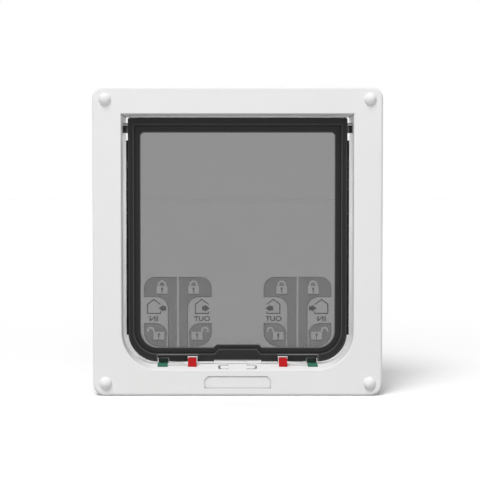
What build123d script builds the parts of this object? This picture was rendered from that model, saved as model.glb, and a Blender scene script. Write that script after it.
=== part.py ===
from build123d import *
from math import asin, atan2, cos, degrees, pi, sin
import os

# Cat flap for a door: two frames clamped by screws, a hinged clear flap and four sliding locks.
# Sizes are in millimetres. X runs to the right, Y runs back through the door, Z runs up.
# Depths count back from the front face, heights count up from the bottom edge.

# Flanges
frame_width = 236.0
frame_height = 252.0
frame_corner = 10.0
edge_round = 2.5
front_depth = 14.0
rear_depth = 12.0
skin = 2.4
door_thickness = 44.0
rib_thickness = 1.6
rib_pitch = 60.0
rib_setback = 1.5

# Passage through the door
side_margin = 23.65
top_margin = 22.5
sill_height = 24.5
sill_corner = 27.0
mouth_bevel = 0.7
ramp_fall = 2.9
ramp_corner = 30.0
ramp_start = 3.0
ramp_end = 12.0
tunnel_wall = 2.4
sill_wall = 4.4
tunnel_setback = 10.0
sleeve_overlap = 22.0
sleeve_gap = 0.4

# Screws and caps
screw_inset = 10.5
screw_diameter = 4.0
screw_head_diameter = 7.6
screw_head_height = 2.4
screw_head_depth = 1.2
screw_end_gap = 3.0
screw_clearance = 0.1
boss_diameter = 10.5
cap_diameter = 10.0
cap_height = 4.0
cap_bands = 3
cap_sides = 32
cap_plug_depth = 0.9

# Plaque and sprung tongues below the flap
plaque_width = 54.0
plaque_height = 10.0
plaque_base = 6.3
plaque_depth = 0.8
plaque_cut = 3.0
tongue_inner = 7.6
tongue_outer = 15.9
tongue_near = 2.6
tongue_far = 11.2
tongue_slot = 1.7
tongue_corner = 3.0

# Flap
flap_depth = 19.0
flap_thickness = 8.0
flap_side_gap = 3.95
flap_floor_gap = 1.7
flap_roof_gap = 1.9
flap_corner_ease = 2.6
flap_top_cut = 1.2
flap_edge_bevel = 0.8
band_side = 5.2
band_bottom = 6.6
band_top = 6.3
band_step = 2.8
band_bevel = 0.6
window_side = 10.4
window_bottom = 11.6
window_top = 12.4
window_corner = 13.8
window_cut = 2.0
boss_half = 19.3
boss_slope = 3.5
boss_rise = 4.0
notch_half = 20.2
notch_slope = 2.4
notch_rise = 2.5
panel_thickness = 3.0
panel_overlap = 3.0
tab_length = 12.0
tab_reach = 1.4

# Hinge
hinge_drop = 7.9
pin_diameter = 3.2
pin_inset = 4.8
pin_wall_depth = 2.0
running_clearance = 0.06
clip_gap = 0.45
clip_height = 5.6
clip_depth = 7.0
clip_rise = 1.0
peg_diameter = 2.4
peg_length = 2.0

# Magnets
magnet_half = 18.6
magnet_depth = 5.0
magnet_height = 5.6
magnet_show = 1.2
sill_magnet_half = 20.0
sill_magnet_depth = 6.0
sill_skin = 0.8
retainer_half = 24.0
retainer_depth = 10.0
retainer_thickness = 1.6

# Brush strips
brush_groove = 1.8
brush_carrier = 3.0
brush_pile = 2.0
brush_reach = 1.8
brush_top_gap = 12.6
brush_low_gap = 21.8

# Locks, in a pair either side of the middle
lock_inset = 44.75
lock_gap = 0.5
lock_front = 6.9
lock_lift = 0.15
out_width = 6.8
out_travel = 8.6
out_height = 5.3
in_width = 8.2
in_travel = 7.7
in_height = 3.7
in_depth = 6.5
tooth_gap = 0.5
tooth_bevel = 0.4
lip_thickness = 3.0
lip_bulge = 0.5
lip_gap = 0.3
notch_gap = 0.5
notch_headroom = 0.6
step_height = 5.4
stem_width = 3.0
stem_near = 9.6
stem_depth = 1.6
stem_gap = 0.2
stem_inset = 0.6
grip_gap = 0.5
foot_spread = 1.2
foot_height = 1.5

fit = 0.1

# Worked-out places
depth = front_depth + door_thickness + rear_depth
face_y = (cap_height - depth) / 2
rear_seat = front_depth + door_thickness
opening_half = frame_width / 2 - side_margin
opening_top = frame_height - top_margin
tunnel_end = rear_seat - tunnel_setback
sleeve_start = tunnel_end - sleeve_overlap
sill_under = sill_height - sill_wall
screw_x = frame_width / 2 - screw_inset
screw_low = screw_inset
screw_high = frame_height - screw_inset
head_seat = screw_head_depth + screw_head_height
head_bore = screw_head_diameter / 2 + screw_clearance * 3
shank_bore = screw_diameter / 2 + screw_clearance
screw_tip = depth - skin - screw_end_gap
flap_near = flap_depth - flap_thickness / 2
flap_far = flap_depth + flap_thickness / 2
flap_half = opening_half - flap_side_gap
flap_low = sill_height + flap_floor_gap
flap_high = opening_top - flap_roof_gap
flap_corner = sill_corner - flap_corner_ease
hinge_z = opening_top - hinge_drop
band_depth = flap_near + band_step
panel_near = flap_depth
panel_far = panel_near + panel_thickness
panel_half = flap_half - window_side + panel_overlap
panel_low = flap_low + window_bottom - panel_overlap
panel_high = flap_high - window_top + panel_overlap
panel_corner = window_corner + panel_overlap
brush_low = flap_low + brush_low_gap
brush_high = hinge_z - brush_top_gap
lock_centre = opening_half - lock_inset
out_rest = lock_centre - lock_gap / 2 - out_width / 2 - out_travel
in_rest = lock_centre + lock_gap / 2 + in_width / 2 + in_travel
out_far = flap_depth - lip_thickness / 2 - tooth_gap
in_near = flap_depth + lip_thickness / 2 + tooth_gap
in_stem_near = in_near + stem_inset
notch_inner = out_rest - out_width / 2 - notch_gap
lip_inner = out_rest + out_width / 2 + notch_gap
lip_outer = in_rest - in_width / 2 - notch_gap
notch_outer = in_rest + in_width / 2 + notch_gap
out_notch_top = sill_height + out_height + notch_headroom
in_notch_top = sill_height + in_height + notch_headroom


def slab(outline, near, far):
    """Push an outline drawn in X and Z back from one depth to another."""
    plane = Plane(origin=(0, face_y + near, 0), x_dir=(1, 0, 0), z_dir=(0, -1, 0))
    return extrude(plane * outline, near - far)


def block(left, right, near, far, low, high):
    """Box between two places on each axis."""
    outline = Pos((left + right) / 2, (low + high) / 2) * Rectangle(right - left, high - low)
    return slab(outline, near, far)


def rod(x, z, radius, near, far):
    """Round bar along the depth."""
    return slab(Pos(x, z) * Circle(radius), near, far)


def bar(outline, left, right):
    """Push an outline drawn in depth and Z along X, from one place to another."""
    plane = Plane(origin=(left, face_y, 0), x_dir=(0, 1, 0), z_dir=(1, 0, 0))
    return extrude(plane * outline, right - left)


def cross_rod(left, right, radius, z):
    """Round bar along X at the depth of the flap."""
    return bar(Pos(flap_depth, z) * Circle(radius), left, right)


def arch(half, low, high, low_corner, top_cut=0):
    """Upright outline with round bottom corners, and top corners that are square or cut off."""
    face = Pos(0, (low + high) / 2) * Rectangle(2 * half, high - low)
    face = fillet(face.vertices().group_by(Axis.Y)[0], low_corner)
    if top_cut == 0:
        return face
    return chamfer(face.vertices().group_by(Axis.Y)[-1], top_cut)


def ramp_shape(half_low, slope, low, high):
    """Symmetrical hump with slanting sides, wide at the bottom."""
    half_high = half_low - slope
    corners = [(-half_low, low), (half_low, low), (half_high, high), (-half_high, high)]
    return make_face(Polyline(*corners, close=True))


def flange_outline(inset):
    """Rounded rectangle of the flanges, moved in by an amount."""
    shape = RectangleRounded(frame_width - 2 * inset, frame_height - 2 * inset, frame_corner - inset)
    return Pos(0, frame_height / 2) * shape


def tunnel_outline(grow):
    """Passage outline behind the ramp, moved out from the tunnel's outer side."""
    wall = tunnel_wall + grow
    low = sill_under - grow
    return arch(opening_half + wall, low, opening_top + wall, sill_corner + wall)


def screw_places():
    """Names and places of the four corners."""
    rows = {"top": screw_high, "bottom": screw_low}
    columns = {"left": -screw_x, "right": screw_x}
    return {f"{row}_{side}": (x, z) for row, z in rows.items() for side, x in columns.items()}


def rib_places(span):
    """Evenly spaced places inside a span, about one pitch apart."""
    count = max(2, round(span / rib_pitch))
    step = span / count
    return [step * (index + 0.5) - span / 2 for index in range(count)]


def flange_ribs(inner_half, inner_low, inner_high, near, far):
    """Thin ribs between the flange's outer wall and the tunnel."""
    middle = (inner_low + inner_high) / 2
    half_rib = rib_thickness / 2
    outer_half = frame_width / 2 - skin / 2
    ribs = []
    for z in rib_places(inner_high - inner_low):
        low = middle + z - half_rib
        ribs.append(block(-outer_half, -inner_half, near, far, low, low + rib_thickness))
        ribs.append(block(inner_half, outer_half, near, far, low, low + rib_thickness))
    low_stop = inner_low - foot_height - retainer_thickness - sill_wall / 2
    for x in rib_places(2 * inner_half):
        ribs.append(block(x - half_rib, x + half_rib, near, far, inner_high, frame_height - skin / 2))
        ribs.append(block(x - half_rib, x + half_rib, near, far, skin / 2, low_stop))
    return ribs


def passage():
    """Space of the front opening, the ramp and the tunnel."""
    mouth_low = sill_height - ramp_fall
    mouth = arch(opening_half, mouth_low, opening_top, ramp_corner)
    inner = arch(opening_half, sill_height, opening_top, sill_corner)
    mouth_plane = Plane(origin=(0, face_y + ramp_start, 0), x_dir=(1, 0, 0), z_dir=(0, -1, 0))
    inner_plane = mouth_plane.offset(ramp_start - ramp_end)
    ramp = loft([mouth_plane * mouth, inner_plane * inner], ruled=True)
    return slab(mouth, -skin, ramp_start) + ramp + slab(inner, ramp_end, tunnel_end + skin)


def tongue_outline(inset):
    """Plan of one sprung tongue with its slot, moved in by an amount, with round corners at its free end."""
    length = tongue_outer - inset - tongue_inner
    width = tongue_far - tongue_near - 2 * inset
    shape = Pos(tongue_inner + length / 2, (tongue_near + tongue_far) / 2) * Rectangle(length, width)
    return fillet(shape.vertices().group_by(Axis.X)[-1], tongue_corner - inset)


def tongue_slot_cut():
    """U-shaped slot that frees one sprung tongue in the ramp."""
    plane = Plane(origin=(0, face_y, sill_under - fit), x_dir=(1, 0, 0), z_dir=(0, 0, 1))
    slot = tongue_outline(0) - tongue_outline(tongue_slot)
    return extrude(plane * slot, sill_wall + 2 * fit)


def plaque_cut_shape():
    """Shallow bare recess for a plaque, with its top corners cut off."""
    half = plaque_width / 2
    top = plaque_base + plaque_height
    corners = [(-half, plaque_base), (half, plaque_base), (half, top - plaque_cut),
               (half - plaque_cut, top), (plaque_cut - half, top), (-half, top - plaque_cut)]
    return slab(make_face(Polyline(*corners, close=True)), -fit, plaque_depth)


def lock_slots():
    """Slots through the sill, which the stems of one pair of locks slide along."""
    reach = stem_width / 2 + stem_gap
    slots = []
    for left, near in ((out_rest, stem_near), (in_rest - in_travel, in_stem_near)):
        slots.append(block(left - reach, in_rest + reach, near - stem_gap, near + stem_depth + stem_gap,
                           sill_under - fit, sill_height + fit))
    return slots[0] + slots[1]


def sill_magnet_pocket():
    """Pocket under the sill for the magnet and the retainer's pegs."""
    half = sill_magnet_half + fit
    near = flap_depth - sill_magnet_depth / 2 - fit
    pocket = block(-half, half, near, near + sill_magnet_depth + 2 * fit, sill_under - fit,
                   sill_height - sill_skin)
    return pocket + retainer_pegs(peg_diameter / 2 + fit, peg_length + fit)


def retainer_pegs(radius, length):
    """Two upright pegs either side of the magnet."""
    place = (sill_magnet_half + retainer_half) / 2
    plane = Plane(origin=(0, face_y + flap_depth, sill_under - fit), x_dir=(1, 0, 0), z_dir=(0, 0, 1))
    circles = Pos(-place, 0) * Circle(radius) + Pos(place, 0) * Circle(radius)
    return extrude(plane * circles, length + fit)


def hinge_holes():
    """Bores for the hinge pins and the clips' pegs in the tunnel's side walls."""
    wall = opening_half + tunnel_wall + fit
    holes = cross_rod(opening_half - fit, wall, pin_diameter / 2 + running_clearance, hinge_z)
    holes += cross_rod(opening_half - fit, wall, peg_diameter / 2 + fit, peg_z())
    return holes


def peg_z():
    """Height of the clips' pegs."""
    return hinge_z - clip_rise - clip_height / 2 - peg_diameter / 4


def both_sides(piece):
    """A piece with its mirror image on the other side."""
    return [piece, mirror(piece, about=Plane.YZ)]


def make_front_frame():
    body = slab(flange_outline(0), 0, front_depth) + slab(tunnel_outline(0), 0, tunnel_end)
    body -= passage()
    face = body.faces().sort_by(Axis.Y)[0]
    body = fillet(face.outer_wire().edges(), edge_round)
    face = body.faces().sort_by(Axis.Y)[0]
    body = chamfer(face.inner_wires()[0].edges(), mouth_bevel)

    hollow = slab(flange_outline(skin) - tunnel_outline(0), skin, front_depth + fit)
    for x, z in screw_places().values():
        hollow -= rod(x, z, boss_diameter / 2, 0, front_depth)
    far = front_depth - rib_setback
    hollow -= flange_ribs(opening_half + tunnel_wall, sill_under, opening_top + tunnel_wall, 0, far)
    body -= hollow

    for x, z in screw_places().values():
        body -= rod(x, z, head_bore, -fit, head_seat)
        body -= rod(x, z, shank_bore, 0, front_depth + fit)
    body -= plaque_cut_shape()
    body -= both_sides(tongue_slot_cut())
    body -= both_sides(lock_slots())
    body -= both_sides(hinge_holes())
    return body - sill_magnet_pocket()


def make_rear_frame():
    inner = tunnel_outline(sleeve_gap)
    outer = tunnel_outline(sleeve_gap + tunnel_wall)
    body = slab(flange_outline(0), rear_seat, depth) + slab(outer, sleeve_start, depth)
    body -= slab(inner, sleeve_start - fit, depth + fit)
    face = body.faces().sort_by(Axis.Y)[-1]
    body = chamfer(face.outer_wire().edges(), edge_round)
    face = body.faces().sort_by(Axis.Y)[-1]
    body = chamfer(face.inner_wires()[0].edges(), mouth_bevel)

    hollow = slab(flange_outline(skin) - outer, rear_seat - fit, depth - skin)
    for x, z in screw_places().values():
        hollow -= rod(x, z, boss_diameter / 2, rear_seat, depth)
    wall = sleeve_gap + 2 * tunnel_wall
    near = rear_seat + rib_setback
    low = sill_under - sleeve_gap - tunnel_wall
    hollow -= flange_ribs(opening_half + wall, low, opening_top + wall, near, depth)
    body -= hollow
    for x, z in screw_places().values():
        body -= rod(x, z, shank_bore, rear_seat - fit, screw_tip + screw_clearance)
    return body


def make_screw(x, z):
    head = rod(x, z, screw_head_diameter / 2, screw_head_depth, head_seat)
    return head + rod(x, z, screw_diameter / 2, head_seat, screw_tip)


def make_cap(x, z):
    """Domed cap, its round rise drawn as bands of flat facets, with a plug for the screw's recess."""
    radius = cap_diameter / 2
    dome_radius = (radius ** 2 + cap_height ** 2) / (2 * cap_height)
    first = asin(radius / dome_radius) / (2 * cap_bands + 1)
    turns = [first * (2 * index + 1) for index in range(cap_bands, 0, -1)]
    rings = [(dome_radius * sin(turn), cap_height - dome_radius * (1 - cos(turn))) for turn in turns]
    rings.append((dome_radius * sin(first), cap_height))
    seat = Plane(origin=(x, face_y, z), x_dir=(1, 0, 0), z_dir=(0, -1, 0))
    cap = extrude(seat * RegularPolygon(head_bore - screw_clearance, cap_sides), -cap_plug_depth)
    for (wide, low), (narrow, high) in zip(rings, rings[1:]):
        slope = degrees(atan2((wide - narrow) * cos(pi / cap_sides), high - low))
        cap += extrude(seat.offset(low) * RegularPolygon(wide, cap_sides), high - low, taper=slope)
    return cap


def make_hinge_clip():
    """Right-hand saddle under the hinge pin, pegged to the tunnel wall."""
    high = hinge_z - clip_rise
    near = flap_depth - clip_depth / 2
    body = block(flap_half + clip_gap, opening_half, near, near + clip_depth, high - clip_height, high)
    body = chamfer(body.edges().filter_by(Axis.X), clip_rise)
    body -= cross_rod(0, opening_half + fit, pin_diameter / 2 + running_clearance, hinge_z)
    return body + cross_rod(opening_half - fit, opening_half + peg_length, peg_diameter / 2, peg_z())


def make_hinge_pin():
    """Right-hand steel pin, from the flap's edge into the tunnel wall."""
    return cross_rod(flap_half - pin_inset, opening_half + pin_wall_depth, pin_diameter / 2, hinge_z)


def make_frame_magnet():
    near = flap_depth - sill_magnet_depth / 2
    high = sill_height - sill_skin
    return block(-sill_magnet_half, sill_magnet_half, near, near + sill_magnet_depth, sill_under, high)


def make_magnet_retainer():
    near = flap_depth - retainer_depth / 2
    plate = block(-retainer_half, retainer_half, near, near + retainer_depth,
                  sill_under - retainer_thickness, sill_under)
    plate = chamfer(plate.edges().filter_by(Axis.Z), retainer_thickness)
    return plate + retainer_pegs(peg_diameter / 2, peg_length)


def make_flap_frame():
    body = slab(arch(flap_half, flap_low, flap_high, flap_corner, flap_top_cut), flap_near, flap_far)
    body = chamfer(body.faces().sort_by(Axis.Y)[0].edges(), flap_edge_bevel)
    body = chamfer(body.faces().sort_by(Axis.Y)[-1].edges(), flap_edge_bevel)

    band_low = flap_low + band_bottom
    band = arch(flap_half - band_side, band_low, flap_high - band_top, flap_corner - band_side)
    band -= ramp_shape(boss_half, boss_slope, band_low, band_low + boss_rise)
    body -= slab(band, flap_near - fit, band_depth)
    body = chamfer(body.faces().sort_by(Axis.Y)[0].inner_wires()[0].edges(), band_bevel)

    window_low = flap_low + window_bottom
    window = arch(flap_half - window_side, window_low, flap_high - window_top, window_corner, window_cut)
    window -= ramp_shape(notch_half, notch_slope, window_low, window_low + notch_rise)
    body -= slab(window, flap_near - fit, flap_far + fit)
    body -= slab(panel_outline(0), panel_near, flap_far + fit)
    body += panel_tabs()

    body -= magnet_pocket()
    body -= both_sides(brush_space(fit))
    body -= both_sides(cross_rod(flap_half - pin_inset - fit, opening_half, pin_diameter / 2 + fit / 2,
                                 hinge_z))
    body -= both_sides(lock_notches())
    return body + both_sides(lock_lip())


def panel_outline(inset):
    """Outline of the clear panel and of the rebate that holds it."""
    return arch(panel_half - inset, panel_low + inset, panel_high - inset, panel_corner - inset)


def panel_tabs():
    """Small tabs on the rim's back that hold the panel in its rebate."""
    middle = (panel_low + panel_high) / 2
    rise = (panel_high - panel_low) / 4
    side = panel_half / 2
    half = tab_length / 2
    back = panel_overlap / 2
    tabs = []
    for z in (middle - rise, middle + rise):
        right = block(panel_half - tab_reach, panel_half + back, panel_far, flap_far, z - half, z + half)
        tabs += both_sides(right)
    for x in (-side, side):
        tabs.append(block(x - half, x + half, panel_far, flap_far, panel_high - tab_reach, panel_high + back))
        tabs.append(block(x - half, x + half, panel_far, flap_far, panel_low - back, panel_low + tab_reach))
    return tabs


def magnet_pocket():
    """Pocket up into the flap's bottom edge, below the boss."""
    half = magnet_half + fit
    near = flap_depth - magnet_depth / 2 - fit
    low = flap_low + magnet_show
    high = magnet_low() + magnet_height
    pocket = block(-boss_half, boss_half, flap_near - fit, flap_far + fit, flap_low - fit, low)
    return pocket + block(-half, half, near, near + magnet_depth + 2 * fit, flap_low, high)


def magnet_low():
    """Height of the flap magnet's lower face."""
    return flap_low + fit


def brush_space(gap):
    """Groove in the flap's right edge, or with no gap the strip's carrier."""
    near = flap_depth - brush_carrier / 2 - gap
    return block(flap_half - brush_groove - gap, flap_half + gap, near, near + brush_carrier + 2 * gap,
                 brush_low - gap, brush_high + gap)


def lock_notches():
    """Notches that let the unlocked teeth through, and the steps before and behind the lip."""
    low = flap_low - flap_floor_gap
    step_top = flap_low + step_height
    half_lip = lip_thickness / 2
    cut = block(notch_inner, lip_inner, flap_near - fit, flap_far + fit, low, out_notch_top)
    cut += block(lip_outer, notch_outer, flap_near - fit, flap_far + fit, low, in_notch_top)
    cut += block(notch_inner, notch_outer, flap_near - fit, flap_depth - half_lip, low, step_top)
    cut += block(lip_inner, lip_outer, flap_depth + half_lip, flap_far + fit, low, step_top)
    return cut


def lock_lip():
    """Swelling of the lip between the notches, which the locked teeth stop."""
    middle = (lip_inner + lip_outer) / 2
    arc = ThreePointArc((lip_inner, flap_low), (middle, flap_low - lip_bulge), (lip_outer, flap_low))
    sides = Polyline((lip_outer, flap_low), (lip_outer, flap_low + lip_bulge),
                     (lip_inner, flap_low + lip_bulge), (lip_inner, flap_low))
    return slab(make_face(arc + sides), flap_depth - lip_thickness / 2, flap_depth + lip_thickness / 2)


def make_flap_panel():
    return slab(panel_outline(fit), panel_near, panel_far)


def make_flap_magnet():
    near = flap_depth - magnet_depth / 2
    low = magnet_low()
    return block(-magnet_half, magnet_half, near, near + magnet_depth, low, low + magnet_height)


def make_brush_strip():
    """Right-hand pile strip."""
    near = flap_depth - brush_pile / 2
    pile = block(flap_half - fit, flap_half + brush_reach, near, near + brush_pile, brush_low, brush_high)
    return brush_space(0) + pile


def ramp_level(place):
    """Height of the ramp or the sill at one depth."""
    share = (ramp_end - place) / (ramp_end - ramp_start)
    return sill_height - ramp_fall * min(1, max(0, share))


def lock_tooth(centre, width, near, far, high):
    """Block of a lock that stands on the ramp and the sill, just clear of them."""
    low = [(near, ramp_level(near) + lock_lift), (far, ramp_level(far) + lock_lift)]
    if near < ramp_end < far:
        low.insert(1, (ramp_end, sill_height + lock_lift))
    outline = make_face(Polyline(*low, (far, high), (near, high), close=True))
    tooth = bar(outline, centre - width / 2, centre + width / 2)
    return chamfer(tooth.faces().sort_by(Axis.Z)[-1].edges(), tooth_bevel)


def lock_foot(centre, stems):
    """Stems through the sill, on a foot below it that is wider than the slots."""
    high = sill_under - lock_lift
    low = high - foot_height
    left, right = centre - stem_width / 2, centre + stem_width / 2
    far = stems[-1] + stem_depth + foot_spread
    foot = block(left, right, stems[0] - foot_spread, far, low, high)
    for near in stems:
        foot += block(left, right, near, near + stem_depth, low, sill_height + lock_lift + fit)
    return foot


def make_out_lock():
    """Right-hand lock, whose tooth stops the flap from the front."""
    tooth = lock_tooth(out_rest, out_width, lock_front, out_far, sill_height + out_height)
    return tooth + lock_foot(out_rest, [stem_near])


def make_in_lock():
    """Right-hand lock, with a low grip in front of the flap and a tooth that stops it from behind."""
    grip = lock_tooth(in_rest, in_width, lock_front, flap_near - grip_gap, flap_low - lip_bulge - lip_gap)
    tooth = lock_tooth(in_rest, in_width, in_near, in_near + in_depth, sill_height + in_height)
    return grip + tooth + lock_foot(in_rest, [stem_near, in_stem_near])


def save(name, *solids):
    """Write one node, of one or more separate solids."""
    shape = solids[0] if len(solids) == 1 else Compound(children=list(solids))
    export_step(shape, f"parts/{name}.step")


def save_pair(name, right):
    """Write a right-hand piece and its left-hand mirror image."""
    save(f"right_{name}", right)
    save(f"left_{name}", mirror(right, about=Plane.YZ))


def main():
    os.makedirs("parts", exist_ok=True)
    save("front_frame", make_front_frame())
    save("rear_frame", make_rear_frame())
    save("fixing_screws", *[make_screw(x, z) for x, z in screw_places().values()])
    for place, (x, z) in screw_places().items():
        save(f"{place}_cap", make_cap(x, z))
    save("frame_magnet", make_frame_magnet())
    save("magnet_retainer", make_magnet_retainer())
    save("flap_frame", make_flap_frame())
    save("flap_panel", make_flap_panel())
    save("flap_magnet", make_flap_magnet())
    save_pair("hinge_clip", make_hinge_clip())
    save_pair("hinge_pin", make_hinge_pin())
    save_pair("brush_strip", make_brush_strip())
    save_pair("out_lock", make_out_lock())
    save_pair("in_lock", make_in_lock())


main()
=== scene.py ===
import math
import bmesh
import bpy
from mathutils import Matrix, Vector


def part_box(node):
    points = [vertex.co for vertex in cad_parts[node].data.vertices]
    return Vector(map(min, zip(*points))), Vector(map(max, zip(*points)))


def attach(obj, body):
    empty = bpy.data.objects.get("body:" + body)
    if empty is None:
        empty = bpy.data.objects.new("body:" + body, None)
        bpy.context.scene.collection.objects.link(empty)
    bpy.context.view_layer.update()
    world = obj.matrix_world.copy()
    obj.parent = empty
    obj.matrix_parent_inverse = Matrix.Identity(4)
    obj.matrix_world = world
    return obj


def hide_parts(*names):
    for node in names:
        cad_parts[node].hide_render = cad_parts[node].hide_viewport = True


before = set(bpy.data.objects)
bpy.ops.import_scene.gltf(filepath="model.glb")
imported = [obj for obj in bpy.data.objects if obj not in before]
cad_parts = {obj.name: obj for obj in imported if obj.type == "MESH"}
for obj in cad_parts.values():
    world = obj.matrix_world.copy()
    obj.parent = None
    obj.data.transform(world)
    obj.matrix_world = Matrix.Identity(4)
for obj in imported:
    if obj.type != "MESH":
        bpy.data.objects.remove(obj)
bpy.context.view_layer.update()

scene = bpy.context.scene
scene.view_settings.view_transform = "Standard"
mm = 0.001  # the pieces' sizes are written in millimetres, the studio's in metres


def addNode(tree, kind, inputs=None, **settings):
    node = tree.nodes.new(kind)
    for key, value in settings.items():
        setattr(node, key, value)
    for key, value in (inputs or {}).items():
        if isinstance(value, bpy.types.NodeSocket):
            tree.links.new(value, node.inputs[key])
        else:
            node.inputs[key].default_value = value
    return node


def calc(tree, operation, first, second=0.0):
    return addNode(tree, "ShaderNodeMath", {0: first, 1: second}, operation=operation).outputs[0]


def spread(tree, value, low, high, fromLow=0.0, fromHigh=1.0):
    # stretches a value to a new range
    return addNode(tree, "ShaderNodeMapRange", {"Value": value, "From Min": fromLow, "From Max": fromHigh,
                                                "To Min": low, "To Max": high}).outputs["Result"]


def clearTree(owner):
    owner.use_nodes = True
    owner.node_tree.nodes.clear()
    return owner.node_tree


# Finishes

noiseSpan = (0.3, 0.7)  # where most of a noise lies
cloudDetail, smearDetail, streakDetail = 3.0, 4.0, 3.0
paintedLightSamples = 8
firstShade, secondShade, mixedShade = 6, 7, 2  # a Mix node's colour sockets


def startMaterial(name, inputs=None):
    material = bpy.data.materials.new(name)
    tree = clearTree(material)
    shader = addNode(tree, "ShaderNodeBsdfPrincipled", inputs)
    addNode(tree, "ShaderNodeOutputMaterial", {"Surface": shader.outputs["BSDF"]})
    place = addNode(tree, "ShaderNodeTexCoord").outputs["Object"]
    return material, tree, shader, place


def noise(tree, place, scale, detail=2.0, stretch=None):
    if stretch:
        place = addNode(tree, "ShaderNodeMapping", {"Vector": place, "Scale": stretch}).outputs["Vector"]
    speckle = addNode(tree, "ShaderNodeTexNoise", {"Vector": place, "Scale": scale, "Detail": detail})
    return speckle.outputs["Fac"]


def opaque(shade):
    return (*shade, 1)


def shadeBetween(tree, shader, fac, first, second):
    mix = addNode(tree, "ShaderNodeMix", {"Factor": fac, firstShade: first, secondShade: second},
                  data_type="RGBA")
    tree.links.new(mix.outputs[mixedShade], shader.inputs["Base Color"])


def roughBetween(tree, shader, fac, low, high):
    tree.links.new(spread(tree, fac, low, high, *noiseSpan), shader.inputs["Roughness"])


def bumpFrom(tree, shader, height, strength, distance):
    bump = addNode(tree, "ShaderNodeBump", {"Height": height, "Strength": strength, "Distance": distance})
    tree.links.new(bump.outputs["Normal"], shader.inputs["Normal"])


def paintShadeOrHighlight(tree, shader, tint, inside):
    # paints shade on a moulding where a wall is close ahead of its face, as in a slot, or paints a highlight
    # where its own inside is close, along an outer edge
    plain = shader.inputs["Base Color"].links[0].from_socket
    near = addNode(tree, "ShaderNodeAmbientOcclusion", {"Distance": tint["reach"]}, samples=paintedLightSamples,
                   inside=inside, only_local=tint.get("ownWalls", True))
    clear = spread(tree, near.outputs["AO"], 0.0, 1.0, *tint["open"])
    shadeBetween(tree, shader, clear, opaque(tint["shade"]), plain)


def mouldedPlastic(name, look):
    material, tree, shader, place = startMaterial(name, {"IOR": look["ior"]})
    clouds = noise(tree, place, look["cloudScale"], cloudDetail)
    shadeBetween(tree, shader, clouds, opaque(look["shade"]), opaque(look["cloud"]))
    # painted highlight along outer edges first, then painted shade where walls are close
    if "edges" in look:
        paintShadeOrHighlight(tree, shader, look["edges"], True)
    if "slots" in look:
        paintShadeOrHighlight(tree, shader, look["slots"], False)
    roughBetween(tree, shader, noise(tree, place, look["smearScale"], smearDetail), *look["roughness"])
    bumpFrom(tree, shader, noise(tree, place, look["grainScale"]), look["grain"], look["grainHeight"])
    return material


def drawnMetal(name, look):
    material, tree, shader, place = startMaterial(name, {"Metallic": 1.0})
    streaks = noise(tree, place, look["streakScale"], streakDetail, look["stretch"])
    shadeBetween(tree, shader, streaks, opaque(look["shade"]), opaque(look["dull"]))
    roughBetween(tree, shader, streaks, *look["roughness"])
    bumpFrom(tree, shader, streaks, look["grain"], look["grainHeight"])
    return material


whiteLook = {"shade": (0.80, 0.80, 0.795), "cloud": (0.83, 0.83, 0.83), "cloudScale": 18.0, "ior": 1.42,
             "roughness": (0.44, 0.56), "smearScale": 70.0, "grainScale": 2600.0, "grain": 0.10,
             "grainHeight": 0.05 * mm,
             # painted shade: the white mouldings go nearly black in slots and along recess walls
             "slots": {"shade": (0.03, 0.03, 0.03), "reach": 2.5 * mm, "open": (0.32, 0.80)}}
darkLook = {"shade": (0.009, 0.009, 0.0093), "cloud": (0.012, 0.012, 0.0123), "cloudScale": 60.0,
            "ior": 1.35, "roughness": (0.30, 0.36), "smearScale": 160.0, "grainScale": 1800.0,
            "grain": 0.10, "grainHeight": 0.08 * mm,
            # painted shade: the dark frame goes black where the tunnel's roof, walls or sill are near
            "slots": {"shade": (0.002, 0.002, 0.002), "reach": 6.0 * mm, "open": (0.45, 0.85),
                      "ownWalls": False},
            # painted highlight: lighter lines along the outer edges and steps of the dark mouldings
            "edges": {"shade": (0.20, 0.20, 0.20), "reach": 1.0 * mm, "open": (0.60, 0.96)}}
greenLook = {"shade": (0.025, 0.155, 0.094), "cloud": (0.033, 0.180, 0.110), "cloudScale": 220.0,
             "ior": 1.40, "roughness": (0.32, 0.45), "smearScale": 400.0, "grainScale": 2600.0,
             "grain": 0.12, "grainHeight": 0.05 * mm,
             # painted shade: the green lock goes near black where the flap or frame is close, as on its
             # tooth behind the flap
             "slots": {"shade": (0.004, 0.012, 0.009), "reach": 8.0 * mm, "open": (0.25, 0.70),
                       "ownWalls": False}}
redLook = {**greenLook, "shade": (0.46, 0.005, 0.008), "cloud": (0.53, 0.007, 0.011), "ior": 1.33,
           # painted shade: the red lock goes near black where the flap or frame is close
           "slots": {**greenLook["slots"], "shade": (0.03, 0.003, 0.003)}}
pileLook = {"shade": (0.008, 0.008, 0.008), "cloud": (0.020, 0.020, 0.021), "cloudScale": 1500.0,
            "ior": 1.4, "roughness": (0.6, 0.85), "smearScale": 900.0, "grainScale": 4000.0,
            "grain": 0.3, "grainHeight": 0.05 * mm}
steelLook = {"shade": (0.62, 0.62, 0.62), "dull": (0.48, 0.48, 0.49), "streakScale": 900.0,
             "stretch": (0.08, 1.0, 1.0), "roughness": (0.22, 0.36), "grain": 0.15,
             "grainHeight": 0.03 * mm}
magnetLook = {**steelLook, "shade": (0.60, 0.60, 0.59), "dull": (0.50, 0.50, 0.50),
              "roughness": (0.38, 0.55)}

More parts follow.
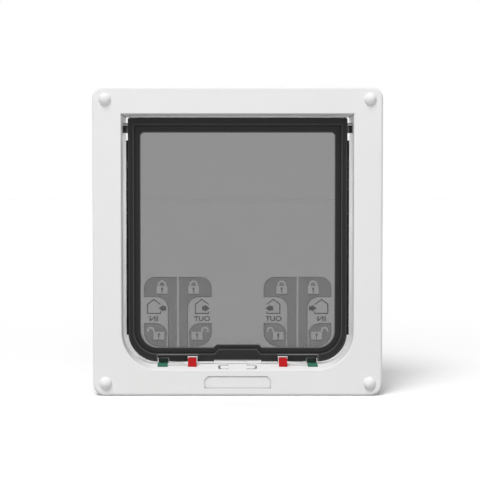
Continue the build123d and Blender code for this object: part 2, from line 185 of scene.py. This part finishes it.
whitePlastic = mouldedPlastic("whitePlastic", whiteLook)
darkPlastic = mouldedPlastic("darkPlastic", darkLook)
greenPlastic = mouldedPlastic("greenPlastic", greenLook)
redPlastic = mouldedPlastic("redPlastic", redLook)
blackPile = mouldedPlastic("blackPile", pileLook)
drawnSteel = drawnMetal("drawnSteel", steelLook)
platedMagnet = drawnMetal("platedMagnet", magnetLook)

smokeLook = {"tint": (0.258, 0.258, 0.258), "tintDeep": (0.248, 0.248, 0.248), "cloudScale": 9.0,
             "ior": 1.49, "roughness": (0.01, 0.04), "smearScale": 40.0, "ripple": 0.02,
             "rippleScale": 25.0, "rippleHeight": 0.05 * mm}


def smokePanel(look):
    material, tree, shader, place = startMaterial("smokePanel", {"IOR": look["ior"],
                                                                 "Transmission Weight": 1.0})
    clouds = noise(tree, place, look["cloudScale"])
    shadeBetween(tree, shader, clouds, opaque(look["tint"]), opaque(look["tintDeep"]))
    roughBetween(tree, shader, noise(tree, place, look["smearScale"], smearDetail), *look["roughness"])
    bumpFrom(tree, shader, noise(tree, place, look["rippleScale"]), look["ripple"], look["rippleHeight"])
    return material


smokeClear = smokePanel(smokeLook)

# Signs on the panel are thin films: how dark each is, and how much of what is behind it each hides
fieldLook = {"shade": (0.05, 0.05, 0.05), "cloud": (0.07, 0.07, 0.07), "cloudScale": 300.0,
             "roughness": (0.35, 0.55), "smearScale": 500.0, "cover": 0.27}
lineLook = {**fieldLook, "shade": (0.02, 0.02, 0.02), "cloud": (0.03, 0.03, 0.03), "cover": 0.60}


def signFilm(name, look):
    material, tree, shader, place = startMaterial(name, {"Alpha": look["cover"]})
    clouds = noise(tree, place, look["cloudScale"])
    shadeBetween(tree, shader, clouds, opaque(look["shade"]), opaque(look["cloud"]))
    roughBetween(tree, shader, noise(tree, place, look["smearScale"]), *look["roughness"])
    return material


signField = signFilm("signField", fieldLook)
signLine = signFilm("signLine", lineLook)

nodeFinish = {
    "front_frame": whitePlastic, "rear_frame": whitePlastic, "magnet_retainer": whitePlastic,
    "left_hinge_clip": darkPlastic, "right_hinge_clip": darkPlastic, "flap_frame": darkPlastic,
    "flap_panel": smokeClear, "frame_magnet": platedMagnet, "flap_magnet": platedMagnet,
    "left_hinge_pin": drawnSteel, "right_hinge_pin": drawnSteel,
    "left_in_lock": greenPlastic, "right_in_lock": greenPlastic,
    "left_out_lock": redPlastic, "right_out_lock": redPlastic,
}
for nodeName, finish in nodeFinish.items():
    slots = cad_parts[nodeName].data.materials
    slots.clear()
    slots.append(finish)
print("finishes set on", len(nodeFinish), "CAD nodes")


# Geometry Nodes: one tree a piece, with its sizes as named inputs

def newTree(name, sizes):
    tree = bpy.data.node_groups.new(name, "GeometryNodeTree")
    tree.interface.new_socket("Geometry", in_out="OUTPUT", socket_type="NodeSocketGeometry")
    for label, value in sizes.items():
        kind = "NodeSocketInt" if isinstance(value, int) else "NodeSocketFloat"
        tree.interface.new_socket(label, in_out="INPUT", socket_type=kind)
    return tree, addNode(tree, "NodeGroupInput").outputs


def endTree(tree, geometry, material):
    solid = addNode(tree, "GeometryNodeRealizeInstances", {"Geometry": geometry}).outputs[0]
    done = addNode(tree, "GeometryNodeSetMaterial", {"Geometry": solid, "Material": material}).outputs[0]
    addNode(tree, "NodeGroupOutput", {"Geometry": done})


def growPiece(name, tree, sizes):
    piece = bpy.data.objects.new(name, bpy.data.meshes.new(name))
    scene.collection.objects.link(piece)
    modifier = piece.modifiers.new(name, "NODES")
    modifier.node_group = tree
    for item in tree.interface.items_tree:
        if item.in_out == "INPUT":
            modifier[item.identifier] = sizes[item.name]
    graph = bpy.context.evaluated_depsgraph_get()
    grown = bpy.data.meshes.new_from_object(piece.evaluated_get(graph))
    piece.modifiers.remove(modifier)
    piece.data = grown
    print("grew", name, len(grown.polygons), "faces")
    return piece


def joined(tree, *geometry):
    join = addNode(tree, "GeometryNodeJoinGeometry")
    for item in geometry:
        tree.links.new(item, join.inputs[0])
    return join.outputs[0]


def vector(tree, x=0.0, y=0.0, z=0.0):
    return addNode(tree, "ShaderNodeCombineXYZ", {"X": x, "Y": y, "Z": z}).outputs[0]


def moved(tree, geometry, offset, turn=(0, 0, 0)):
    return addNode(tree, "GeometryNodeTransform",
                   {"Geometry": geometry, "Translation": offset, "Rotation": turn}).outputs[0]


def block(tree, x, y, z, steps=2):
    return addNode(tree, "GeometryNodeMeshCube",
                   {"Size": vector(tree, x, y, z), "Vertices Z": steps}).outputs["Mesh"]


def cylinder(tree, radius, depth, around, rings=1):
    return addNode(tree, "GeometryNodeMeshCylinder",
                   {"Vertices": around, "Fill Segments": rings, "Radius": radius, "Depth": depth},
                   fill_type="TRIANGLE_FAN")


def domed(tree, blank, radius, rise):
    # lifts a cylinder's top face to a part of a sphere, flush at its rim
    place = addNode(tree, "GeometryNodeInputPosition").outputs[0]
    axes = addNode(tree, "ShaderNodeSeparateXYZ", {0: place}).outputs
    square = calc(tree, "ADD", calc(tree, "POWER", axes[0], 2.0), calc(tree, "POWER", axes[1], 2.0))
    rimSquare = calc(tree, "POWER", radius, 2.0)
    ball = calc(tree, "DIVIDE", calc(tree, "ADD", rimSquare, calc(tree, "POWER", rise, 2.0)),
                calc(tree, "MULTIPLY", rise, 2.0))
    over = calc(tree, "SQRT", calc(tree, "SUBTRACT", calc(tree, "POWER", ball, 2.0), square))
    lift = calc(tree, "ADD", calc(tree, "SUBTRACT", over, ball), rise)
    return addNode(tree, "GeometryNodeSetPosition",
                   {"Geometry": blank.outputs["Mesh"], "Selection": blank.outputs["Top"],
                    "Offset": vector(tree, z=lift)}).outputs[0]


def atCorners(tree, size, item):
    # four copies on a rectangle, turned so that up is towards the front
    grid = addNode(tree, "GeometryNodeMeshGrid", {"Size X": size["Span"], "Size Y": size["Rise"],
                                                  "Vertices X": 2, "Vertices Y": 2}).outputs["Mesh"]
    copies = addNode(tree, "GeometryNodeInstanceOnPoints", {"Points": grid, "Instance": item}).outputs[0]
    return moved(tree, copies, vector(tree, 0.0, size["Face"], size["Middle"]), (math.pi / 2, 0, 0))


def smooth(tree, geometry, sharpAngle=0.6):
    bend = addNode(tree, "GeometryNodeInputMeshEdgeAngle").outputs[0]
    soft = calc(tree, "LESS_THAN", bend, sharpAngle)
    faces = addNode(tree, "GeometryNodeSetShadeSmooth", {"Geometry": geometry}, domain="FACE").outputs[0]
    return addNode(tree, "GeometryNodeSetShadeSmooth", {"Geometry": faces, "Shade Smooth": soft},
                   domain="EDGE").outputs[0]


# Screw caps: a short skirt under a dome, with a plug that goes in the screw's recess

lowCap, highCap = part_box("bottom_left_cap"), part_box("top_right_cap")
lowMiddle, highMiddle = (lowCap[0] + lowCap[1]) / 2, (highCap[0] + highCap[1]) / 2
capPlug = 0.9 * mm
capSizes = {"Radius": 5.0 * mm, "Skirt": 0.55 * mm, "Dome": 3.45 * mm, "Plug Radius": 3.6 * mm,
            "Plug Depth": capPlug, "Span": highMiddle.x - lowMiddle.x,
            "Rise": highMiddle.z - lowMiddle.z, "Face": lowCap[1].y - capPlug,
            "Middle": (highMiddle.z + lowMiddle.z) / 2, "Around": 64, "Rings": 12}
tree, size = newTree("capTree", capSizes)
blank = cylinder(tree, size["Radius"], size["Skirt"], size["Around"], size["Rings"])
dome = moved(tree, domed(tree, blank, size["Radius"], size["Dome"]),
             vector(tree, z=calc(tree, "MULTIPLY", size["Skirt"], 0.5)))
plug = moved(tree, cylinder(tree, size["Plug Radius"], size["Plug Depth"], size["Around"]).outputs["Mesh"],
             vector(tree, z=calc(tree, "MULTIPLY", size["Plug Depth"], -0.5)))
endTree(tree, atCorners(tree, size, smooth(tree, joined(tree, dome, plug))), whitePlastic)
screwCaps = growPiece("screw_caps", tree, capSizes)
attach(screwCaps, "frame")
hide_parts("top_left_cap", "top_right_cap", "bottom_left_cap", "bottom_right_cap")

# Long screws: cross-head, core and a thread that winds up it

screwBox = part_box("fixing_screws")
screwSizes = {"Head Radius": 3.8 * mm, "Head Depth": 2.4 * mm, "Head Dome": 0.5 * mm, "Head Rings": 6,
              "Drive Width": 1.2 * mm, "Drive Length": 4.6 * mm, "Drive Depth": 1.2 * mm,
              "Core Radius": 1.62 * mm, "Core Around": 20, "Length": screwBox[1].y - screwBox[0].y,
              "Pitch": 0.9 * mm, "Ridge": 0.42 * mm, "Ridge Sides": 3, "Turn Steps": 16,
              "Plain": 3.0 * mm, "Span": capSizes["Span"], "Rise": capSizes["Rise"],
              "Face": screwBox[0].y, "Middle": capSizes["Middle"], "Around": 32}
tree, size = newTree("screwTree", screwSizes)
headFlat = calc(tree, "SUBTRACT", size["Head Depth"], size["Head Dome"])
headMiddle = calc(tree, "SUBTRACT", calc(tree, "MULTIPLY", headFlat, -0.5), size["Head Dome"])
blank = cylinder(tree, size["Head Radius"], headFlat, size["Around"], size["Head Rings"])
head = moved(tree, domed(tree, blank, size["Head Radius"], size["Head Dome"]), vector(tree, z=headMiddle))
twice = calc(tree, "MULTIPLY", size["Drive Depth"], 2.0)
recess = addNode(tree, "GeometryNodeMeshBoolean", {"Mesh 1": head}, operation="DIFFERENCE")
for across, up in (("Drive Length", "Drive Width"), ("Drive Width", "Drive Length")):
    tree.links.new(block(tree, size[across], size[up], twice), recess.inputs["Mesh 2"])
coreLength = calc(tree, "SUBTRACT", size["Length"], size["Head Depth"])
coreMiddle = calc(tree, "SUBTRACT", calc(tree, "MULTIPLY", coreLength, -0.5), size["Head Depth"])
core = moved(tree, cylinder(tree, size["Core Radius"], coreLength, size["Core Around"]).outputs["Mesh"],
             vector(tree, z=coreMiddle))
threadLength = calc(tree, "SUBTRACT", coreLength, calc(tree, "MULTIPLY", size["Plain"], 2.0))
spiral = addNode(tree, "GeometryNodeCurveSpiral",
                 {"Resolution": size["Turn Steps"],
                  "Rotations": calc(tree, "DIVIDE", threadLength, size["Pitch"]),
                  "Start Radius": size["Core Radius"], "End Radius": size["Core Radius"],
                  "Height": threadLength}).outputs[0]
profile = addNode(tree, "GeometryNodeCurvePrimitiveCircle",
                  {"Resolution": size["Ridge Sides"], "Radius": size["Ridge"]}, mode="RADIUS").outputs[0]
ridge = addNode(tree, "GeometryNodeCurveToMesh", {"Curve": spiral, "Profile Curve": profile,
                                                  "Fill Caps": True}).outputs[0]
thread = moved(tree, ridge, vector(tree, z=calc(tree, "SUBTRACT", size["Plain"], size["Length"])))
screw = smooth(tree, joined(tree, recess.outputs[0], core, thread))
endTree(tree, atCorners(tree, size, screw), drawnSteel)
longScrews = growPiece("long_screws", tree, screwSizes)
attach(longScrews, "frame")
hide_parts("fixing_screws")

# Brush strips: a woven back in the flap's groove, with rows of bristles that lean a little each way

brushSizes = {"Back Width": 1.7 * mm, "Back Depth": 2.9 * mm, "Back Steps": 40, "Bristle": 1.88 * mm,
              "Bristle Sides": 4, "Root Radius": 0.16 * mm, "Tip Radius": 0.08 * mm, "Rows": 6,
              "Count": 520, "Pile Depth": 1.6 * mm, "End Gap": 0.6 * mm, "Lean": 0.16, "Spin": 6.0,
              "Shortest": 0.86, "Longest": 1.0, "Seed": 7}
for side, sign in (("left", -1), ("right", 1)):
    low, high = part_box(side + "_brush_strip")
    root = sign * (min(abs(low.x), abs(high.x)) + brushSizes["Back Width"])
    sizes = {**brushSizes, "Root": root, "Depth": (low.y + high.y) / 2, "Bottom": low.z, "Top": high.z,
             "Back Middle": root - sign * brushSizes["Back Width"] / 2}
    tree, size = newTree(side + "BrushTree", sizes)
    length = calc(tree, "SUBTRACT", size["Top"], size["Bottom"])
    middle = calc(tree, "MULTIPLY", calc(tree, "ADD", size["Top"], size["Bottom"]), 0.5)
    back = moved(tree, block(tree, size["Back Width"], size["Back Depth"], length, size["Back Steps"]),
                 vector(tree, size["Back Middle"], size["Depth"], middle))
    spots = addNode(tree, "GeometryNodeMeshGrid",
                    {"Size X": calc(tree, "SUBTRACT", length, size["End Gap"]),
                     "Size Y": size["Pile Depth"],
                     "Vertices X": size["Count"], "Vertices Y": size["Rows"]}).outputs["Mesh"]
    hair = addNode(tree, "GeometryNodeMeshCone",
                   {"Vertices": size["Bristle Sides"], "Radius Top": size["Tip Radius"],
                    "Radius Bottom": size["Root Radius"], "Depth": size["Bristle"]},
                   fill_type="NONE").outputs["Mesh"]
    otherWay = calc(tree, "MULTIPLY", size["Lean"], -1.0)
    lean = addNode(tree, "FunctionNodeRandomValue",
                   {0: vector(tree, otherWay, otherWay, 0.0),
                    1: vector(tree, size["Lean"], size["Lean"], size["Spin"]), "Seed": size["Seed"]},
                   data_type="FLOAT_VECTOR").outputs[0]
    tall = addNode(tree, "FunctionNodeRandomValue",
                   {2: size["Shortest"], 3: size["Longest"], "Seed": size["Seed"]},
                   data_type="FLOAT").outputs[1]
    tuft = addNode(tree, "GeometryNodeInstanceOnPoints",
                   {"Points": spots, "Instance": hair, "Rotation": lean,
                    "Scale": vector(tree, 1.0, 1.0, tall)}).outputs[0]
    upright = moved(tree, tuft, (0, 0, 0), (0, math.pi / 2, 0))  # rows run up, bristles point along X
    outward = moved(tree, upright, vector(tree, size["Root"], size["Depth"], middle),
                    (0, 0, 0) if sign > 0 else (0, 0, math.pi))
    endTree(tree, joined(tree, back, outward), blackPile)
    brush = growPiece(side + "_brush", tree, sizes)
    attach(brush, "flap")
    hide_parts(side + "_brush_strip")

# Signs on the back of the panel, read from behind, in millimetres.
# A point is (reach, height), where reach counts away from the divider between two halves.

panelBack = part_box("flap_panel")[1].y
signs = {"divider": 49.65, "film": 0.10, "stand": 0.02, "border": 0.5, "line": 0.9, "foot": 0.55,
         "wordHeight": 4.3, "wordWeight": 0.024, "wordBase": 59.1, "mitre": 0.35, "weld": 0.001}


def arc(centre, radius, start, end, steps=10):
    angles = [math.radians(start + (end - start) * i / steps) for i in range(steps + 1)]
    return [(centre[0] + radius * math.cos(angle), centre[1] + radius * math.sin(angle)) for angle in angles]


def ribbon(points, width):
    # the outline of a strip of even width along a line of points
    line = [Vector(point) for point in points]
    steps = [(after - before).normalized() for before, after in zip(line, line[1:])]
    left, right = [], []
    for i, here in enumerate(line):
        ways = steps[max(i - 1, 0):i + 1]
        way = sum(ways, Vector((0, 0))).normalized()
        across = Vector((-way.y, way.x)) * (width / 2 / max(signs["mitre"], way.dot(ways[0])))
        left.append(here + across)
        right.append(here - across)
    return left + right[::-1]


topField = ([(0.8, 36.0), (0.8, 95.7)] + arc((18.8, 86.7), 9.0, 90, 0) + [(27.8, 79.4)]
            + arc((17.6, 69.9), 9.5, 90, 180) + [(8.1, 36.0)])
lowField = ([(9.3, 36.0)] + arc((18.5, 48.1), 9.2, 180, 90) + [(27.8, 57.3)]
            + arc((16.2, 50.0), 11.6, -1, -88) + [(16.2, 36.0)])

# Padlocks are left bare in their fields. A closed one has its shackle over the body, an open one beside it.
lockBody = {"half": 4.45, "height": 6.5, "shackle": 3.5, "bow": 1.5, "leg": 1.1, "openTrim": 0.3,
            "openOverlap": 1.0, "holeRadius": 0.95, "holeHeight": 4.2, "slitHalf": 0.4, "slitFoot": 0.9}


def closedLock(middle, base):
    half, top, outer = lockBody["half"], base + lockBody["height"], lockBody["shackle"]
    inner = outer - lockBody["bow"]
    bend = (middle, top + lockBody["leg"])
    body = ([(middle - half, base), (middle - half, top), (middle - outer, top)] + arc(bend, outer, 180, 0)
            + [(middle + outer, top), (middle + half, top), (middle + half, base)])
    return [body, [(middle - inner, top)] + arc(bend, inner, 180, 0) + [(middle + inner, top)]]


def openLock(middle, base):
    half, top = lockBody["half"], base + lockBody["height"]
    outer = lockBody["shackle"] - lockBody["openTrim"]
    inner = outer - lockBody["bow"]
    bend = (middle + half - lockBody["openOverlap"] + outer, top + lockBody["leg"])
    return [[(middle - half, base), (middle - half, top), (bend[0] - outer, top)] + arc(bend, outer, 180, 0)
            + [(bend[0] + outer, top), (bend[0] + inner, top)] + arc(bend, inner, 0, 180)
            + [(bend[0] - inner, top), (middle + half, top), (middle + half, base)]]


def keyhole(reach, base):
    foot, half = base + lockBody["slitFoot"], lockBody["slitHalf"]
    hole = arc((reach, base + lockBody["holeHeight"]), lockBody["holeRadius"], -60, 240, 12)
    return hole + [(reach - half, foot), (reach + half, foot)]


arrowSize = {"level": 69.9, "head": 3.9, "shaft": 1.8, "barb": 2.85}


def arrow(tail, tip):
    level, shaft, barb = arrowSize["level"], arrowSize["shaft"], arrowSize["barb"]
    neck = tip - arrowSize["head"]
    return [(tail, level - shaft), (tail, level + shaft), (neck, level + shaft), (neck, level + barb),
            (tip, level), (neck, level - barb), (neck, level - shaft)]


inHouse = [(14.4, 67.4), (14.4, 65.6), (25.2, 65.6), (25.2, 73.3), (20.0, 77.2), (14.4, 73.1)]
outHouse = [(25.4, 67.2), (25.4, 65.6), (14.6, 65.6), (14.6, 73.3), (19.9, 77.3), (25.6, 73.1)]
halves = {"IN": {"way": 1, "house": inHouse, "arrow": arrow(9.6, 16.0), "wordMiddle": 20.05,
                 "wordWidth": 6.9},
          "OUT": {"way": -1, "house": outHouse, "arrow": arrow(20.1, 26.4), "wordMiddle": 19.95,
                  "wordWidth": 13.4}}
locks = {"closed": {"field": topField, "shape": closedLock, "middle": 13.1, "base": 82.0},
         "open": {"field": lowField, "shape": openLock, "middle": 15.9, "base": 43.8}}


def signMesh(curve, layer):
    # stands a flat curve up on the panel's back, facing backwards
    holder = bpy.data.objects.new("flat", curve)
    scene.collection.objects.link(holder)
    graph = bpy.context.evaluated_depsgraph_get()
    mesh = bpy.data.meshes.new_from_object(holder.evaluated_get(graph))
    bpy.data.objects.remove(holder)
    level = panelBack + (signs["stand"] + layer) * mm
    mesh.transform(Matrix(((-mm, 0, 0, 0), (0, 0, mm, level), (0, mm, 0, 0), (0, 0, 0, 1))))
    return mesh


def flatShape(loops, layer=0.0):
    curve = bpy.data.curves.new("shape", "CURVE")
    curve.dimensions = "2D"
    curve.fill_mode = "BOTH"
    curve.extrude = signs["film"] / 2
    for loop in loops:
        spline = curve.splines.new("POLY")
        spline.points.add(len(loop) - 1)
        for point, (x, z) in zip(spline.points, loop):
            point.co = (-x, z, 0, 1)
        spline.use_cyclic_u = True
    return signMesh(curve, layer + signs["film"] / 2)


def wordShape(word, middle, width):
    # a word stretched to its width and height, with its middle and foot in place
    curve = bpy.data.curves.new("word", "FONT")
    curve.body = word
    curve.size = signs["wordHeight"]
    curve.offset = signs["wordWeight"] * curve.size
    curve.extrude = signs["film"] / 2
    mesh = signMesh(curve, signs["film"] / 2)
    across = [corner.co.x for corner in mesh.vertices]
    up = [corner.co.z for corner in mesh.vertices]
    wide, tall = max(across) - min(across), max(up) - min(up)
    stretch = Matrix.Diagonal((width * mm / wide, 1, signs["wordHeight"] * mm / tall, 1))
    start = Matrix.Translation((-(max(across) + min(across)) / 2, 0, -min(up)))
    mesh.transform(Matrix.Translation((middle * mm, 0, signs["wordBase"] * mm)) @ stretch @ start)
    return mesh


def mergeSigns(name, meshes, material):
    whole = bmesh.new()
    for mesh in meshes:
        whole.from_mesh(mesh)
        bpy.data.meshes.remove(mesh)
    bmesh.ops.remove_doubles(whole, verts=whole.verts, dist=signs["weld"] * mm)
    bmesh.ops.recalc_face_normals(whole, faces=whole.faces)
    merged = bpy.data.meshes.new(name)
    whole.to_mesh(merged)
    whole.free()
    merged.materials.append(material)
    piece = bpy.data.objects.new(name, merged)
    scene.collection.objects.link(piece)
    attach(piece, "flap")
    print("made", name, len(merged.polygons), "faces")


def placed(points, side, way):
    return [(side * (signs["divider"] + way * reach), height) for reach, height in points]


fields, lines = [], []
for side in (-1, 1):
    for word, half in halves.items():
        way = half["way"]
        for lock in locks.values():
            middle, base, field = lock["middle"], lock["base"], lock["field"]
            loops = [field] + lock["shape"](middle, base)
            fields.append(flatShape([placed(loop, side, way) for loop in loops]))
            lines.append(flatShape([placed(keyhole(middle, base), side, way)]))
            # painted shade: the dark ribbons along each field's edges and under each padlock body stand for
            # the shade at the edges of the moulded relief
            footHeight = base - signs["foot"]
            foot = [(middle - lockBody["half"], footHeight), (middle + lockBody["half"], footHeight)]
            for line in (field[1:], foot):  # these lie over the fields
                lines.append(flatShape([placed(ribbon(line, signs["border"]), side, way)], signs["film"]))
        lines.append(flatShape([placed(ribbon(half["house"], signs["line"]), side, way)]))
        lines.append(flatShape([placed(half["arrow"], side, way)]))
        wordMiddle = side * (signs["divider"] + way * half["wordMiddle"])
        lines.append(wordShape(word, wordMiddle, half["wordWidth"]))
mergeSigns("sign_fields", fields, signField)
mergeSigns("sign_lines", lines, signLine)

# Floor, light and camera

studio = {"floorShade": 0.95, "floorBounce": 0.58, "floorSides": 30, "floorFront": -30, "floorBack": 60,
          "glow": (0.03, 0.11), "glowReach": (0.25, 1.0), "skyLight": 0.34, "backLight": 0.55,
          "sunStrength": 2.05, "sunSpread": 30.0, "sunFrom": (-0.36, -1.0, 1.7)}
# The back box lights the front frame alone, for the walls of its passage
softBoxes = {"topBox": {"at": (-0.10, -0.70, 0.70), "aim": (0, 0, 0.16), "size": 0.35, "spread": 180,
                        "power": 1.70},
             "backBox": {"at": (0, 0.25, 0.25), "aim": (0, 0, 0.15), "size": 0.12, "spread": 60,
                         "power": 0.34, "only": ("front_frame",)}}


def seenRays(tree):
    # 1 for what the camera sees, also through clear plastic and in a gloss, 0 for the light on the object
    ray = addNode(tree, "ShaderNodeLightPath").outputs
    clear = calc(tree, "MAXIMUM", ray["Is Camera Ray"], ray["Is Transmission Ray"])
    return calc(tree, "MAXIMUM", clear, ray["Is Glossy Ray"])


def paleFloor(look):
    sides, front, back = look["floorSides"], look["floorFront"], look["floorBack"]
    corners = [(-sides, front, 0), (sides, front, 0), (sides, back, 0), (-sides, back, 0)]
    mesh = bpy.data.meshes.new("floor")
    mesh.from_pydata(corners, [], [(0, 1, 2, 3)])
    floor = bpy.data.objects.new("floor", mesh)
    scene.collection.objects.link(floor)
    material = bpy.data.materials.new("paleFloor")
    tree = clearTree(material)
    seen = seenRays(tree)
    shade = spread(tree, seen, look["floorBounce"], look["floorShade"])
    matt = addNode(tree, "ShaderNodeBsdfDiffuse", {"Color": shade}).outputs[0]
    place = addNode(tree, "ShaderNodeTexCoord").outputs["Object"]
    away = addNode(tree, "ShaderNodeVectorMath", {0: place}, operation="LENGTH").outputs["Value"]
    strength = calc(tree, "MULTIPLY", seen, spread(tree, away, *look["glow"], *look["glowReach"]))
    glow = addNode(tree, "ShaderNodeEmission", {"Strength": strength}).outputs[0]
    both = addNode(tree, "ShaderNodeAddShader", {0: matt, 1: glow}).outputs[0]
    addNode(tree, "ShaderNodeOutputMaterial", {"Surface": both})
    mesh.materials.append(material)


def whiteWorld(look):
    # a white backdrop, whose light is dim round the object and fuller behind it
    world = bpy.data.worlds.new("whiteWorld")
    tree = clearTree(world)
    way = addNode(tree, "ShaderNodeTexCoord").outputs["Generated"]
    behind = addNode(tree, "ShaderNodeSeparateXYZ", {0: way}).outputs[1]
    soft = spread(tree, behind, look["skyLight"], look["backLight"])
    strength = spread(tree, seenRays(tree), soft, 1.0)
    sky = addNode(tree, "ShaderNodeBackground", {"Color": (1, 1, 1, 1), "Strength": strength})
    addNode(tree, "ShaderNodeOutputWorld", {"Surface": sky.outputs[0]})
    scene.world = world


def addLamp(name, lamp, energy, place, away):
    lamp.energy = energy
    holder = bpy.data.objects.new(name, lamp)
    holder.location = place
    holder.rotation_euler = Vector(away).to_track_quat("Z", "Y").to_euler()
    holder.visible_camera = holder.visible_transmission = holder.visible_glossy = False
    scene.collection.objects.link(holder)
    return holder


def studioLamps(look, boxes):
    sun = bpy.data.lights.new("sun", "SUN")
    sun.angle = math.radians(look["sunSpread"])
    addLamp("sun", sun, look["sunStrength"], (0, 0, 1), look["sunFrom"])
    for name, box in boxes.items():
        lamp = bpy.data.lights.new(name, "AREA")
        lamp.shape = "DISK"
        lamp.size = box["size"]
        lamp.spread = math.radians(box["spread"])
        holder = addLamp(name, lamp, box["power"], box["at"], Vector(box["at"]) - Vector(box["aim"]))
        if "only" in box:
            lit = bpy.data.collections.new(name)
            for nodeName in box["only"]:
                lit.objects.link(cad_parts[nodeName])
            holder.light_linking.receiver_collection = lit


view = {"lens": 95.25, "sensor": 36.0, "farthest": 100.0, "at": (0.00195, -1.064, 0.163), "tilt": 1.98}


def photoCamera(look):
    data = bpy.data.cameras.new("photoCamera")
    data.lens = look["lens"]
    data.sensor_width = look["sensor"]
    data.clip_end = look["farthest"]
    camera = bpy.data.objects.new("photoCamera", data)
    camera.location = look["at"]
    camera.rotation_euler = (math.radians(90 - look["tilt"]), 0, 0)
    scene.collection.objects.link(camera)
    scene.camera = camera


paleFloor(studio)
whiteWorld(studio)
studioLamps(studio, softBoxes)
photoCamera(view)
print("floor, light and camera set")
